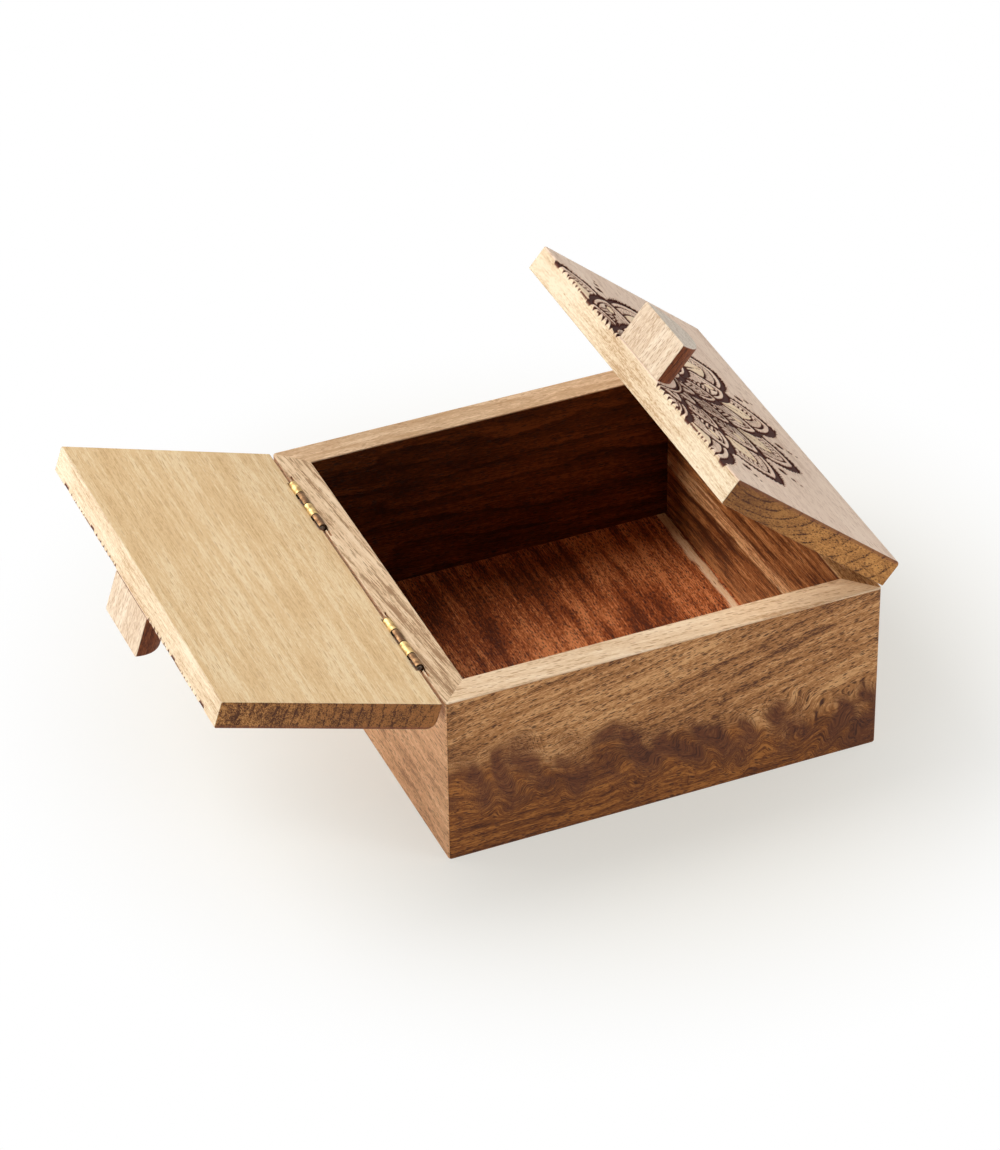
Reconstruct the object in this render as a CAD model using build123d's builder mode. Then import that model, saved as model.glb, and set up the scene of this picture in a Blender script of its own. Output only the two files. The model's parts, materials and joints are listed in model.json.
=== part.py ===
from build123d import *
from math import radians, tan
import os

# Keepsake box: a square box of mitred boards with a lid in two leaves. Each leaf hangs on the
# box's own side by two butt hinges, opens outwards and carries one half of a round knob.
#
# Frame: millimetres, +Z up, origin at the middle of the underside. X runs across the two lid
# leaves, from the left one to the right one, and Y runs along the hinge lines, to the back.
# The lids stand as the box is shown, the left one nearly flat and the right one half raised.

# Box
box_length = 203.2  # outside, across the two lid leaves
box_depth = 203.2  # outside, along the hinge lines
body_height = 84.0  # underside to rim
wall_thickness = 13.5
corner_round = 1.6  # upright outer corners
base_round = 1.2  # lower outer edge
rim_round = 0.5  # both edges of the rim

# Floor panel, let into a rebate flush with the walls' underside and pinned up into them
floor_thickness = 6.3
rebate_width = 6.5
floor_clearance = 0.15  # panel to rebate, each side
floor_brad_radius = 0.7
floor_brad_length = 16.0
floor_brad_share = 0.25  # brads stand this share of the side away from its middle

# Lid leaves
lid_thickness = 12.7
lid_gap = 0.4  # closed lid to rim
seam_gap = 0.5  # between the closed leaves
left_hinge_round = 4.5  # outer edge over the hinges, worn round on the left leaf
right_hinge_round = 2.0
lid_edge_round = 0.8  # the other long edges
lid_end_round = 0.6  # around the two ends
left_opening = 162.25  # degrees from closed, as shown
right_opening = 40.0

# Butt hinges: leaves in saw kerfs, barrel along the outer edge of the rim
hinge_inset = 45.6  # a hinge's middle from the end of the rim
hinge_length = 37.0
knuckle_count = 4
knuckle_gap = 0.2
barrel_radius = 2.0
leaf_thickness = 0.8
leaf_depth = 8.0  # from the rim or the lid's underside into the wood
leaf_corner = 1.0
axis_outset = 0.6  # hinge axis outside the face of the box
body_leaf_wrap = 140.0  # degrees that a knuckle is rolled round the pin
lid_leaf_wrap = 300.0
pin_clearance = 0.05
pin_chamfer = 0.25
mortise_clearance = 0.15  # around the barrel
mortise_overrun = 1.4  # past each end of the barrel
kerf_clearance = 0.05  # each side of a leaf
kerf_extra_depth = 0.4
wall_kerf_overrun = 6.5  # past each end of the leaf
lid_kerf_overrun = 0.75
wall_kerf_end_round = 6.0  # left by the slitting saw
lid_kerf_end_round = 0.6

# Brads through the hinge leaves
brad_radius = 0.6
brad_length = 9.0
brad_height = 4.6  # from the rim or the lid's underside
brad_spacing = 20.0
brad_clearance = 0.02

# Knob halves and the dowels that hold them
knob_width = 38.4  # across the sawn face
knob_depth = 17.0  # from the sawn face to the back of the curve
knob_height = 19.3
knob_round = 1.0
dowel_radius = 3.0
dowel_length = 17.4
dowel_spacing = 18.0
dowel_inset = 7.5  # dowel's middle behind the sawn face
dowel_side_clearance = 0.05
dowel_end_clearance = 0.3

# Rosette carved around the knob: rings of pointed petals, the outermost first
rosette_margin = 13.6  # outermost tips to the lid's ends
petal_count = 12
petal_ring_step = 17.0  # from one ring's tips to the next one's
petal_lengths = [48.0, 43.0, 35.0, 22.0]
petal_turns = [0.0, 0.5, 0.0, 0.5]  # shares of the angle between two petals
petal_gap = 0.9  # between neighbours in a ring
border_width = 2.2  # carved edge of a petal
border_tip = 5.0  # the same along the petal, at its tip
collar_rings = [(5.2, 1.0), (3.0, 1.7)]  # around the knob: outer edge beyond it, and width
carving_depth = 0.9

# Worked out
axis_height = body_height + lid_gap / 2
axis_reach = box_length / 2 + axis_outset
lid_width = box_length / 2 - seam_gap / 2
lid_low = lid_gap / 2  # lid's underside, from the hinge axis
lid_high = lid_low + lid_thickness
free_edge = axis_outset + lid_width  # lid's free edge, from the hinge axis
leaf_inner = barrel_radius - leaf_thickness
leaf_reach = lid_low + leaf_depth
leaf_start = barrel_radius + mortise_clearance  # the plate is cut back here for the other knuckles
knuckle_pitch = hinge_length / knuckle_count
pin_radius = leaf_inner - pin_clearance
hinge_place = box_depth / 2 - hinge_inset  # a hinge's middle from the middle of the rim
hinge_places = [-hinge_place, hinge_place]
brad_offsets = [-brad_spacing / 2, brad_spacing / 2]
dowel_offsets = [-dowel_spacing / 2, dowel_spacing / 2]
rosette_radius = box_depth / 2 - rosette_margin
petal_step = 360 / petal_count
panel_length = box_length - 2 * (wall_thickness - rebate_width)
panel_depth = box_depth - 2 * (wall_thickness - rebate_width)
brad_line_x = panel_length / 2 - rebate_width / 2
brad_line_y = panel_depth / 2 - rebate_width / 2
floor_brad_places = [
    *[(sx * floor_brad_share * box_length, sy * brad_line_y) for sx in (-1, 1) for sy in (-1, 1)],
    *[(sx * brad_line_x, sy * floor_brad_share * box_depth) for sx in (-1, 1) for sy in (-1, 1)],
]


def hinge_frame(side, opening):
    """Lid's frame at the hinge axis: X to the free edge, Z to the outer face. side is -1 for left."""
    turn = Rotation(0, side * opening, 0)
    return Plane(
        origin=(side * axis_reach, 0, axis_height),
        x_dir=(turn * Location((-side, 0, 0))).position,
        z_dir=(turn * Location((0, 0, 1))).position,
    )


def leaf_frame(side):
    """Body's frame at the hinge axis: X into the box, Z down into the wall."""
    return Plane(origin=(side * axis_reach, 0, axis_height), x_dir=(-side, 0, 0), z_dir=(0, 0, -1))


def section(frame, y=0.0):
    """Plane across the hinge line at y, whose own x and y follow the frame's X and Z."""
    return Plane(origin=frame.from_local_coords((0, y, 0)), x_dir=frame.x_dir, z_dir=-frame.y_dir)


def side_plane(frame, x):
    """Plane facing along the frame's X at x, whose own x and y follow the frame's Y and Z."""
    return Plane(origin=frame.from_local_coords((x, 0, 0)), x_dir=frame.y_dir, z_dir=frame.x_dir)


def brad_spots():
    """Where the brads of one lid or wall stand: along the hinge line and away from the axis."""
    return [(y + dy, lid_low + brad_height) for y in hinge_places for dy in brad_offsets]


def hinge_seats(frame, kerf_overrun, end_round):
    """What is cut away for two hinges: the barrels' mortises, the leaves' kerfs and the brads' holes."""
    kerf_bottom = leaf_reach + kerf_extra_depth
    with BuildPart() as seats:
        for place in hinge_places:
            with BuildSketch(section(frame, place)):
                Circle(barrel_radius + mortise_clearance)
            extrude(amount=hinge_length / 2 + mortise_overrun, both=True)
        with BuildSketch(side_plane(frame, leaf_inner - kerf_clearance)) as kerfs:
            with Locations(*[(place, kerf_bottom / 2) for place in hinge_places]):
                Rectangle(hinge_length + 2 * kerf_overrun, kerf_bottom)
            fillet(kerfs.vertices().group_by(Axis.Y)[-1], end_round)
        extrude(amount=leaf_thickness + 2 * kerf_clearance)
        with BuildSketch(side_plane(frame, 0)):
            with Locations(*brad_spots()):
                Circle(brad_radius + brad_clearance)
        extrude(amount=axis_outset + brad_length)
    return seats


def wall_board(turn, run, reach):
    """Mitred wall. It stands turned by turn degrees from the front: run long, reach from the middle."""
    frame = Plane.XY.rotated((0, 0, turn))
    along = Axis((0, 0, 0), tuple(frame.x_dir))
    with BuildPart() as board:
        with BuildSketch(frame):
            with BuildLine():
                Polyline(
                    (-run / 2, -reach),
                    (run / 2, -reach),
                    (run / 2 - wall_thickness, wall_thickness - reach),
                    (wall_thickness - run / 2, wall_thickness - reach),
                    close=True,
                )
            make_face()
            RectangleRounded(run, 2 * reach, corner_round, mode=Mode.INTERSECT)
        extrude(amount=body_height)
        long_edges = board.edges().filter_by(along)
        fillet(long_edges.group_by(Axis.Z)[-1], rim_round)
        across = Axis((0, 0, 0), tuple(frame.y_dir))
        fillet(board.edges().filter_by(along).group_by(Axis.Z)[0].sort_by(across)[0], base_round)
        with BuildSketch(Plane.XY):
            Rectangle(panel_length, panel_depth)
        extrude(amount=floor_thickness, mode=Mode.SUBTRACT)
        with BuildSketch(Plane.XY.offset(floor_thickness)):
            with Locations(*floor_brad_places):
                Circle(floor_brad_radius + brad_clearance)
        extrude(amount=floor_brad_length - floor_thickness, mode=Mode.SUBTRACT)
    return board


def side_wall(side):
    """Left or right wall, with the hinge seats in its rim."""
    plain = wall_board(90 * side, box_depth, box_length / 2)
    seats = hinge_seats(leaf_frame(side), wall_kerf_overrun, wall_kerf_end_round)
    with BuildPart() as board:
        add(plain.part)
        add(seats.part, mode=Mode.SUBTRACT)
    return board


def floor_panel():
    """Floor, tight under the rebate's shoulder and flush with the walls' underside."""
    with BuildPart() as panel:
        with BuildSketch(Plane.XY):
            Rectangle(panel_length - 2 * floor_clearance, panel_depth - 2 * floor_clearance)
        extrude(amount=floor_thickness)
        with BuildSketch(Plane.XY):
            with Locations(*floor_brad_places):
                Circle(floor_brad_radius + brad_clearance)
        extrude(amount=floor_thickness, mode=Mode.SUBTRACT)
    return panel


def floor_brads():
    """Brads up through the floor's edge into the walls, flush with the floor's underside."""
    with BuildPart() as brads:
        with BuildSketch(Plane.XY):
            with Locations(*floor_brad_places):
                Circle(floor_brad_radius)
        extrude(amount=floor_brad_length)
    return brads


def dowel_spots():
    """Where the dowels stand on the outer face of a lid leaf."""
    return [(free_edge - dowel_inset, y) for y in dowel_offsets]


def petal(tip, length, half_width):
    """Pointed petal along X, between two arcs that meet at its base and its tip."""
    with BuildSketch() as shape:
        with BuildLine():
            ThreePointArc((tip - length, 0), (tip - length / 2, half_width), (tip, 0))
            ThreePointArc((tip, 0), (tip - length / 2, -half_width), (tip - length, 0))
        make_face()
    return shape.sketch


def rosette():
    """Carved lines: the petals' edges, each ring over the one outside it, and rings at the knob."""
    with BuildSketch() as lines:
        for index, (length, turn) in enumerate(zip(petal_lengths, petal_turns)):
            tip = rosette_radius - index * petal_ring_step
            sector = (tip - length / 2) * tan(radians(petal_step / 2))
            half_width = sector - petal_gap / 2
            places = PolarLocations(0, petal_count, start_angle=90 + turn * petal_step)
            with places:
                add(petal(tip, length, half_width))
            with places:
                add(petal(tip - border_tip, length - border_tip, half_width - border_width), mode=Mode.SUBTRACT)
        for reach, width in collar_rings:
            Circle(knob_width / 2 + reach)
            Circle(knob_width / 2 + reach - width, mode=Mode.SUBTRACT)
    return lines.sketch


def lid_leaf(frame, hinge_round):
    """Lid leaf: its section, rounded over the hinges, run along the hinge line, and carved."""
    seats = hinge_seats(frame, lid_kerf_overrun, lid_kerf_end_round)
    with BuildPart() as board:
        with BuildSketch(section(frame)) as profile:
            with Locations(((axis_outset + free_edge) / 2, (lid_low + lid_high) / 2)):
                Rectangle(lid_width, lid_thickness)
            worn = profile.vertices().group_by(Axis.Y)[-1].sort_by(Axis.X)[0]
            fillet(worn, hinge_round)
            square = profile.vertices().sort_by(Axis.X)[-2:] + profile.vertices().sort_by(Axis.Y)[:1]
            fillet(square, lid_edge_round)
        extrude(amount=box_depth / 2, both=True)
        ends = board.faces().filter_by(Axis.Y).sort_by(Axis.Y)
        fillet(ends[0].edges() + ends[-1].edges(), lid_end_round)
        add(seats.part, mode=Mode.SUBTRACT)
        with BuildSketch(frame.offset(lid_high)):
            with Locations(*dowel_spots()):
                Circle(dowel_radius + dowel_side_clearance)
        extrude(amount=-(dowel_length / 2 + dowel_end_clearance), mode=Mode.SUBTRACT)
        with BuildSketch(frame.offset(lid_high)):
            with Locations((axis_reach, 0)):
                add(rosette())
        extrude(amount=-carving_depth, mode=Mode.SUBTRACT)
    return board


def knob_half(frame):
    """Half of the round knob, its sawn face flush with the lid's free edge."""
    foot = frame.offset(lid_high)
    with BuildPart() as knob:
        with BuildSketch(foot):
            with BuildLine():
                ends = (free_edge, -knob_width / 2), (free_edge, knob_width / 2)
                ThreePointArc(ends[0], (free_edge - knob_depth, 0), ends[1])
                Line(ends[1], ends[0])
            make_face()
        extrude(amount=knob_height)
        outwards = Axis(tuple(frame.origin), tuple(frame.z_dir))
        top = knob.edges().filter_by(GeomType.CIRCLE).sort_by(outwards)[-1]
        fillet(top, knob_round)
        with BuildSketch(foot):
            with Locations(*dowel_spots()):
                Circle(dowel_radius + dowel_side_clearance)
        extrude(amount=dowel_length / 2 + dowel_end_clearance, mode=Mode.SUBTRACT)
    return knob


def knob_dowels(frame):
    """Two dowels, half in the lid leaf and half in the knob."""
    with BuildPart() as dowels:
        with BuildSketch(frame.offset(lid_high)):
            with Locations(*dowel_spots()):
                Circle(dowel_radius)
        extrude(amount=dowel_length / 2, both=True)
    return dowels


def hinge_leaf(frame, middle, wrap):
    """Brass leaf: a plate in the kerf, and every other knuckle rolled round the pin by wrap degrees."""
    knuckle_length = knuckle_pitch - knuckle_gap
    with BuildPart() as leaf:
        for index in range(0, knuckle_count, 2):
            knuckle_middle = middle + hinge_length / 2 - (index + 0.5) * knuckle_pitch
            with BuildSketch(section(frame, knuckle_middle)):
                with BuildLine():
                    outer = CenterArc((0, 0), barrel_radius, 0, -wrap)
                    inner = CenterArc((0, 0), leaf_inner, 0, -wrap)
                    Line(outer @ 1, inner @ 1)
                    tab = [(leaf_inner, leaf_reach / 2), (barrel_radius, leaf_reach / 2)]
                    Polyline(inner @ 0, *tab, outer @ 0)
                make_face()
            extrude(amount=knuckle_length / 2, both=True)
        with BuildSketch(side_plane(frame, leaf_inner)) as plate:
            with Locations((middle, (leaf_start + leaf_reach) / 2)):
                Rectangle(hinge_length, leaf_reach - leaf_start)
            fillet(plate.vertices().group_by(Axis.Y)[-1], leaf_corner)
            with Locations(*[(middle + dy, lid_low + brad_height) for dy in brad_offsets]):
                Circle(brad_radius + brad_clearance, mode=Mode.SUBTRACT)
        extrude(amount=leaf_thickness)
    return leaf


def hinge_pin(frame, middle):
    """Steel pin through the knuckles, its ends flush with the barrel's."""
    with BuildPart() as pin:
        with BuildSketch(section(frame, middle)):
            Circle(pin_radius)
        extrude(amount=hinge_length / 2, both=True)
        chamfer(pin.edges().filter_by(GeomType.CIRCLE), pin_chamfer)
    return pin


def hinge_brads(frame):
    """Brads from the outer face through the hinge leaves."""
    with BuildPart() as brads:
        with BuildSketch(side_plane(frame, axis_outset)):
            with Locations(*brad_spots()):
                Circle(brad_radius)
        extrude(amount=brad_length)
    return brads


def save(piece, name):
    """Labels a finished piece and writes its STEP file."""
    piece.part.label = name
    export_step(piece.part, f"parts/{name}.step")


os.makedirs("parts", exist_ok=True)

save(wall_board(0, box_length, box_depth / 2), "front_wall")
save(wall_board(180, box_length, box_depth / 2), "back_wall")
save(floor_panel(), "floor_panel")
save(floor_brads(), "floor_brads")

sides = [
    ("left", -1, left_opening, left_hinge_round),
    ("right", 1, right_opening, right_hinge_round),
]
for side_name, side, opening, hinge_round in sides:
    lid_frame = hinge_frame(side, opening)
    body_frame = leaf_frame(side)
    save(side_wall(side), f"{side_name}_wall")
    save(lid_leaf(lid_frame, hinge_round), f"{side_name}_lid")
    save(knob_half(lid_frame), f"{side_name}_knob_half")
    save(knob_dowels(lid_frame), f"{side_name}_knob_dowels")
    save(hinge_brads(body_frame), f"{side_name}_wall_hinge_brads")
    save(hinge_brads(lid_frame), f"{side_name}_lid_hinge_brads")
    for place_name, place in [("front", -1), ("back", 1)]:
        # Each frame's own Y runs towards the back or the front, so the same hinge has a sign in each.
        lid_middle = place * lid_frame.y_dir.Y * hinge_place
        body_middle = place * body_frame.y_dir.Y * hinge_place
        hinge_name = f"{side_name}_{place_name}_hinge"
        save(hinge_leaf(lid_frame, lid_middle, lid_leaf_wrap), f"{hinge_name}_lid_leaf")
        save(hinge_leaf(body_frame, body_middle, body_leaf_wrap), f"{hinge_name}_wall_leaf")
        save(hinge_pin(body_frame, body_middle), f"{hinge_name}_pin")
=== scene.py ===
"""Looks of the keepsake box: its timbers, burnt rosette, brass hinges and studio."""

import json
import logging
import math
from dataclasses import dataclass, field, fields, replace
from enum import Enum
from functools import cache
from typing import Sequence

import bpy
import numpy as np
from mathutils import Matrix, Vector


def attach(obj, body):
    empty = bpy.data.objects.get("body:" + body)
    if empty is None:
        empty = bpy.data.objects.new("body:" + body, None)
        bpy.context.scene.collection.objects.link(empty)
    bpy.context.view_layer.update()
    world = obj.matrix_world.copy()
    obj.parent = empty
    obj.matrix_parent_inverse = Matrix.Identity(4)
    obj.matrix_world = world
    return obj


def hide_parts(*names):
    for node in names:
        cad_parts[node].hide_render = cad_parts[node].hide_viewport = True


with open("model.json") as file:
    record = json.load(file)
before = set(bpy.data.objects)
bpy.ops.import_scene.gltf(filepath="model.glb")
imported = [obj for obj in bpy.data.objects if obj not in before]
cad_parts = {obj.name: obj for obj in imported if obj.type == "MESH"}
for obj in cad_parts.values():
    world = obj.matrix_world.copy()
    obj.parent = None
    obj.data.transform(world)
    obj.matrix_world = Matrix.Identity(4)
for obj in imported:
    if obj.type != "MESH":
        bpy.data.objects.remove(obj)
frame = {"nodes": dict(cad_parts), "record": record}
log = logging.getLogger("keepsake_box")

MM = 0.001
Pair = tuple[float, float]
Triple = tuple[float, float, float]
Colour = Triple
Array = np.ndarray
Socket = bpy.types.NodeSocket
Material = bpy.types.Material

# Oiled wood has a weak gloss. A timber's tone is 0 where it is pale and 1 where it is dark. Pores
# are so many a millimetre across the grain, and darken the wood by their share.
WOOD = {"Specular IOR Level": 0.22}
MEAN_TONE = 0.38
PORE_SCALE = 1.15
PORE_SHARE = 0.85


def node_points(name: str) -> Array:
    """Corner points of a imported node.

    Args:
        name: The node's name.

    Returns:
        An array of points, in millimetres.
    """
    mesh = frame["nodes"][name].data
    points = np.empty(len(mesh.vertices) * 3, dtype=np.float32)
    mesh.vertices.foreach_get("co", points)
    return points.reshape(-1, 3).astype(float) / MM


def smooth_step(low: float, high: float, values: Array) -> Array:
    """Rises from 0 at low to 1 at high, level at both ends."""
    t = np.clip((values - low) / (high - low), 0.0, 1.0)
    return t * t * (3.0 - 2.0 * t)


# Node trees


class Value:
    """A number in a node tree. A sum with it adds a Math node."""

    def __init__(self, graph: "Graph", socket: Socket) -> None:
        """Takes the graph and the socket that gives the number."""
        self.graph, self.socket = graph, socket

    def __add__(self, other: object) -> "Value":
        """The sum of both."""
        return self.graph.math("ADD", self, other)

    def __sub__(self, other: object) -> "Value":
        """The number less another."""
        return self.graph.math("SUBTRACT", self, other)

    def __rsub__(self, other: float) -> "Value":
        """A plain number less this one."""
        return self.graph.math("SUBTRACT", other, self)

    def __mul__(self, other: object) -> "Value":
        """The product of both."""
        return self.graph.math("MULTIPLY", self, other)

    def __truediv__(self, other: object) -> "Value":
        """The number over another."""
        return self.graph.math("DIVIDE", self, other)

    def __abs__(self) -> "Value":
        """The number without its sign."""
        return self.graph.math("ABSOLUTE", self)


class Graph:
    """Makes and links the nodes of one tree."""

    def __init__(self, tree: bpy.types.NodeTree) -> None:
        """Takes the tree that the nodes go into."""
        self.tree = tree

    def add(self, kind: str, inputs: dict | None = None, **settings: object) -> bpy.types.Node:
        """Adds a node.

        Args:
            kind: The node's type, without the ShaderNode in front.
            inputs: What its inputs get, by their names or numbers.
            settings: Its properties by name.

        Returns:
            The new node.
        """
        node = self.tree.nodes.new("ShaderNode" + kind)
        for name, value in settings.items():
            setattr(node, name, value)
        for key, value in (inputs or {}).items():
            self.feed(node.inputs[key], value)
        return node

    def feed(self, socket: Socket, value: object) -> None:
        """Links an input to another socket, or sets it.

        Args:
            socket: The input.
            value: A Value, a socket or a constant.
        """
        if isinstance(value, Value):
            value = value.socket
        if isinstance(value, Socket):
            self.tree.links.new(value, socket)
            return
        if socket.type == "RGBA" and len(value) == 3:
            value = (*value, 1.0)
        socket.default_value = value

    def math(self, operation: str, *values: object, clamp: bool = False) -> Value:
        """A Math node on the given numbers."""
        node = self.add("Math", dict(enumerate(values)), operation=operation, use_clamp=clamp)
        return Value(self, node.outputs[0])

    def step(self, value: object, low: float, high: float) -> Value:
        """Smooth rise from one number to another.

        Args:
            value: The number that rises.
            low: Where the result is 0. Where low is the larger, the result falls.
            high: Where the result is 1.

        Returns:
            The result.
        """
        ends = (low, high, 0.0, 1.0) if low <= high else (high, low, 1.0, 0.0)
        inputs = dict(zip(("Value", "From Min", "From Max", "To Min", "To Max"), (value, *ends)))
        return Value(self, self.add("MapRange", inputs, interpolation_type="SMOOTHSTEP").outputs[0])

    def mix(self, share: object, first: object, second: object) -> Socket:
        """Mixes two colours."""
        return self.add("Mix", {0: share, 6: first, 7: second}, data_type="RGBA").outputs[2]

    def blend(self, share: object, first: object, second: object) -> Value:
        """Mixes two numbers."""
        return Value(self, self.add("Mix", {0: share, 2: first, 3: second}, data_type="FLOAT").outputs[0])

    def scaled(self, vector: Socket, scale: object, shift: Sequence[float] = (0, 0, 0)) -> Socket:
        """Scales a vector axis by axis, then moves it."""
        return self.add("VectorMath", {0: vector, 1: scale, 2: shift}, operation="MULTIPLY_ADD").outputs[0]

    def noise(
        self, place: Socket, across: float, along: float, detail: float = 2.0, rough: float = 0.5,
        shift: float = 0.0,
    ) -> Value:
        """Noise that may be drawn out along Y, about 0.5 in the middle.

        Args:
            place: Where it is wanted, in millimetres.
            across: Its scale along X and Z.
            along: Its scale along Y.
            detail: How many finer layers it has.
            rough: How strong they are.
            shift: Moves it on each axis.

        Returns:
            The noise.
        """
        vector = self.scaled(place, (across, along, across), (shift,) * 3)
        inputs = {"Vector": vector, "Scale": 1.0, "Detail": detail, "Roughness": rough}
        return Value(self, self.add("TexNoise", inputs).outputs["Fac"])

    def split(self, vector: Socket) -> list[Value]:
        """The three parts of a vector."""
        return [Value(self, part) for part in self.add("SeparateXYZ", {0: vector}).outputs]

    def join(self, *parts: object) -> Socket:
        """A vector from three parts."""
        return self.add("CombineXYZ", dict(enumerate(parts))).outputs[0]


@dataclass(frozen=True)
class Timber:
    """One look of a timber: its colours, from pale to dark, and the strengths of its grain.

    The names of the fields, capitalised, are the node group's inputs. Lengths are in millimetres.
    """

    pale: Colour
    mid: Colour
    dark: Colour
    pore: Colour
    ring_width: float = 9.0
    ring_bend: float = 3.0
    ring_strength: float = 0.15
    ring_line: float = 0.2
    fibre: float = 0.5
    fleck: float = 0.5
    mottle: float = 0.3
    pores: float = 0.6
    pore_length: float = 4.0
    seed: float = 0.0

    @classmethod
    def inputs(cls) -> dict[str, str]:
        """The group's input for each field."""
        return {part.name: part.name.replace("_", " ").title() for part in fields(cls)}


@cache
def timber_group() -> bpy.types.NodeTree:
    """Solid timber with its grain along Y, in millimetres.

    Growth rings lie round a pith along Y at X and Z of 0: their phase is the distance from the
    pith, bent by slow noise, over the ring width, and each ends in a thin dark line. Fibres are
    noise drawn out along Y. Pores are cells drawn out along Y too, so they are dashes on a long
    face and dots on an end. Figure moves all of it across the grain, so that it flows round knots.

    Returns:
        The node group.
    """
    tree = bpy.data.node_groups.new("Timber", "ShaderNodeTree")
    colours = ("Pale", "Mid", "Dark", "Pore", "Color")
    names = ("Vector", "Figure", *Timber.inputs().values())
    for way, ports in (("INPUT", names), ("OUTPUT", ("Color", "Height"))):
        for name in ports:
            kind = "Color" if name in colours else "Vector" if name == "Vector" else "Float"
            tree.interface.new_socket(name, in_out=way, socket_type="NodeSocket" + kind)
    g = Graph(tree)
    source = tree.nodes.new("NodeGroupInput").outputs
    i = {name: Value(g, source[name]) for name in names}

    # The seed moves the noise, by more along the grain, and leaves the pith where it is.
    x, y, z = g.split(i["Vector"])
    x, seed = x + i["Figure"], i["Seed"]
    at = g.join(x + seed, y + seed * 1.7, z + seed)

    # A ring darkens over most of its width and pales at its end, where its dark line is.
    slow, fine = g.noise(at, 0.045, 0.012) - 0.5, g.noise(at, 0.25, 0.05) - 0.5
    radius = g.math("SQRT", x * x + z * z)
    bent = radius + slow * (i["Ring Bend"] * 4.0) + fine * i["Ring Bend"]
    phase = g.math("FRACT", bent / i["Ring Width"])
    ring = g.step(phase, 0.0, 0.8) * g.step(phase, 1.0, 0.9)
    late = g.step(phase, 0.7, 0.86) * g.step(phase, 1.0, 0.92) * g.step(g.noise(at, 0.5, 0.06), 0.3, 0.6)

    # From fine to broad: fibres, flecks, broad streaks and clouds, each 0 to 1 about the middle.
    fibre = g.step(g.noise(at, 2.4, 0.08, 3.0, 0.6), 0.3, 0.7)
    fleck = g.step(g.noise(at, 1.9, 0.42, 2.0, 0.6), 0.3, 0.7)
    broad = g.step(g.noise(at, 0.34, 0.016, 3.0, 0.55), 0.28, 0.72)
    cloud = g.step(g.noise(at, 0.035, 0.012, 3.0, 0.6), 0.3, 0.7)

    # Each cell holds a pore where its chance is low, and its colour also gives the pore's size.
    drawn_out = g.scaled(at, g.join(PORE_SCALE, g.math("DIVIDE", 1.0, i["Pore Length"]), PORE_SCALE))
    cells = g.add("TexVoronoi", {"Vector": drawn_out, "Scale": 1.0}).outputs
    chance, reach, _ = g.split(cells["Color"])
    short = Value(g, cells["Distance"]) / (reach * 0.26 + 0.22)
    pore = g.step(g.math("SUBTRACT", 1.0, short, clamp=True), 0.0, 0.4)
    pore = pore * g.math("LESS_THAN", chance, i["Pores"])

    tone = ring * i["Ring Strength"] + late * i["Ring Line"]
    for streaks, strength in ((fibre, "Fibre"), (broad, "Fibre"), (fleck, "Fleck"), (cloud, "Mottle")):
        tone = tone + (streaks - 0.5) * i[strength]
    tone = g.math("ADD", tone, MEAN_TONE, clamp=True)
    colour = g.mix(g.step(tone, 0.0, 0.5), i["Pale"], i["Mid"])
    colour = g.mix(g.step(tone, 0.5, 1.0), colour, i["Dark"])
    sink = tree.nodes.new("NodeGroupOutput").inputs
    g.feed(sink["Color"], g.mix(pore * PORE_SHARE, colour, i["Pore"]))
    g.feed(sink["Height"], fibre * 0.25 - pore)
    return tree


class Surface(Graph):
    """A material: its graph, Principled node and output."""

    def __init__(self, name: str, constants: dict[str, object]) -> None:
        """Makes the material.

        Args:
            name: The material's name.
            constants: Values of the Principled node's inputs, by name.
        """
        self.material = bpy.data.materials.new(name)
        self.material.use_nodes = True
        self.material.node_tree.nodes.clear()
        super().__init__(self.material.node_tree)
        self.shader = self.add("BsdfPrincipled", constants)
        self.out = self.add("OutputMaterial", {"Surface": self.shader.outputs[0]})

    def place(self, axes: Array = np.eye(3), shift: Sequence[float] = (0, 0, 0)) -> Socket:
        """Object coordinates turned into a piece's own directions, in millimetres.

        Args:
            axes: The piece's directions, one a row.
            shift: What is added after the turn.

        Returns:
            The vector.
        """
        inputs = {
            "Vector": self.add("TexCoord").outputs["Object"],
            "Rotation": Matrix(axes.tolist()).to_euler(),
            "Scale": (1 / MM,) * 3,
            "Location": tuple(float(part) for part in shift),
        }
        return self.add("Mapping", inputs).outputs[0]

    def timber(
        self, place: Socket, base: Timber, zones: Sequence[tuple[Value, Timber]], figure: object = 0.0
    ) -> list[Socket]:
        """Adds a timber whose looks change from zone to zone, its grain running through all of them.

        Args:
            place: Where the surface lies in the board, in millimetres, the grain along Y.
            base: The look outside the zones.
            zones: Masks and the look that each brings, the later ones on top.
            figure: How far the grain is pushed across itself, in millimetres.

        Returns:
            The timber's colour and its height.
        """
        inputs = {"Vector": place, "Figure": figure}
        for key, name in Timber.inputs().items():
            value: object = getattr(base, key)
            for mask, look in zones:
                there = getattr(look, key)
                if isinstance(there, tuple):
                    value = self.mix(mask, value, there)
                elif value != there:
                    value = self.blend(mask, value, there)
            inputs[name] = value
        return list(self.add("Group", inputs, node_tree=timber_group()).outputs)

    def finish(
        self, colour: Socket, roughness: object, height: object, strength: float = 0.5, depth: float = 0.25
    ) -> Material:
        """Feeds the Principled node.

        Args:
            colour: The colour.
            roughness: The roughness.
            height: The height for the bump.
            strength: Strength of the bump.
            depth: What a height of 1 measures, in millimetres.

        Returns:
            The material.
        """
        relief = self.add("Bump", {"Height": height, "Strength": strength, "Distance": depth * MM})
        fed = {"Base Color": colour, "Roughness": roughness, "Normal": relief.outputs[0]}
        for name, value in fed.items():
            self.feed(self.shader.inputs[name], value)
        return self.material


# Lid leaves


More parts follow.
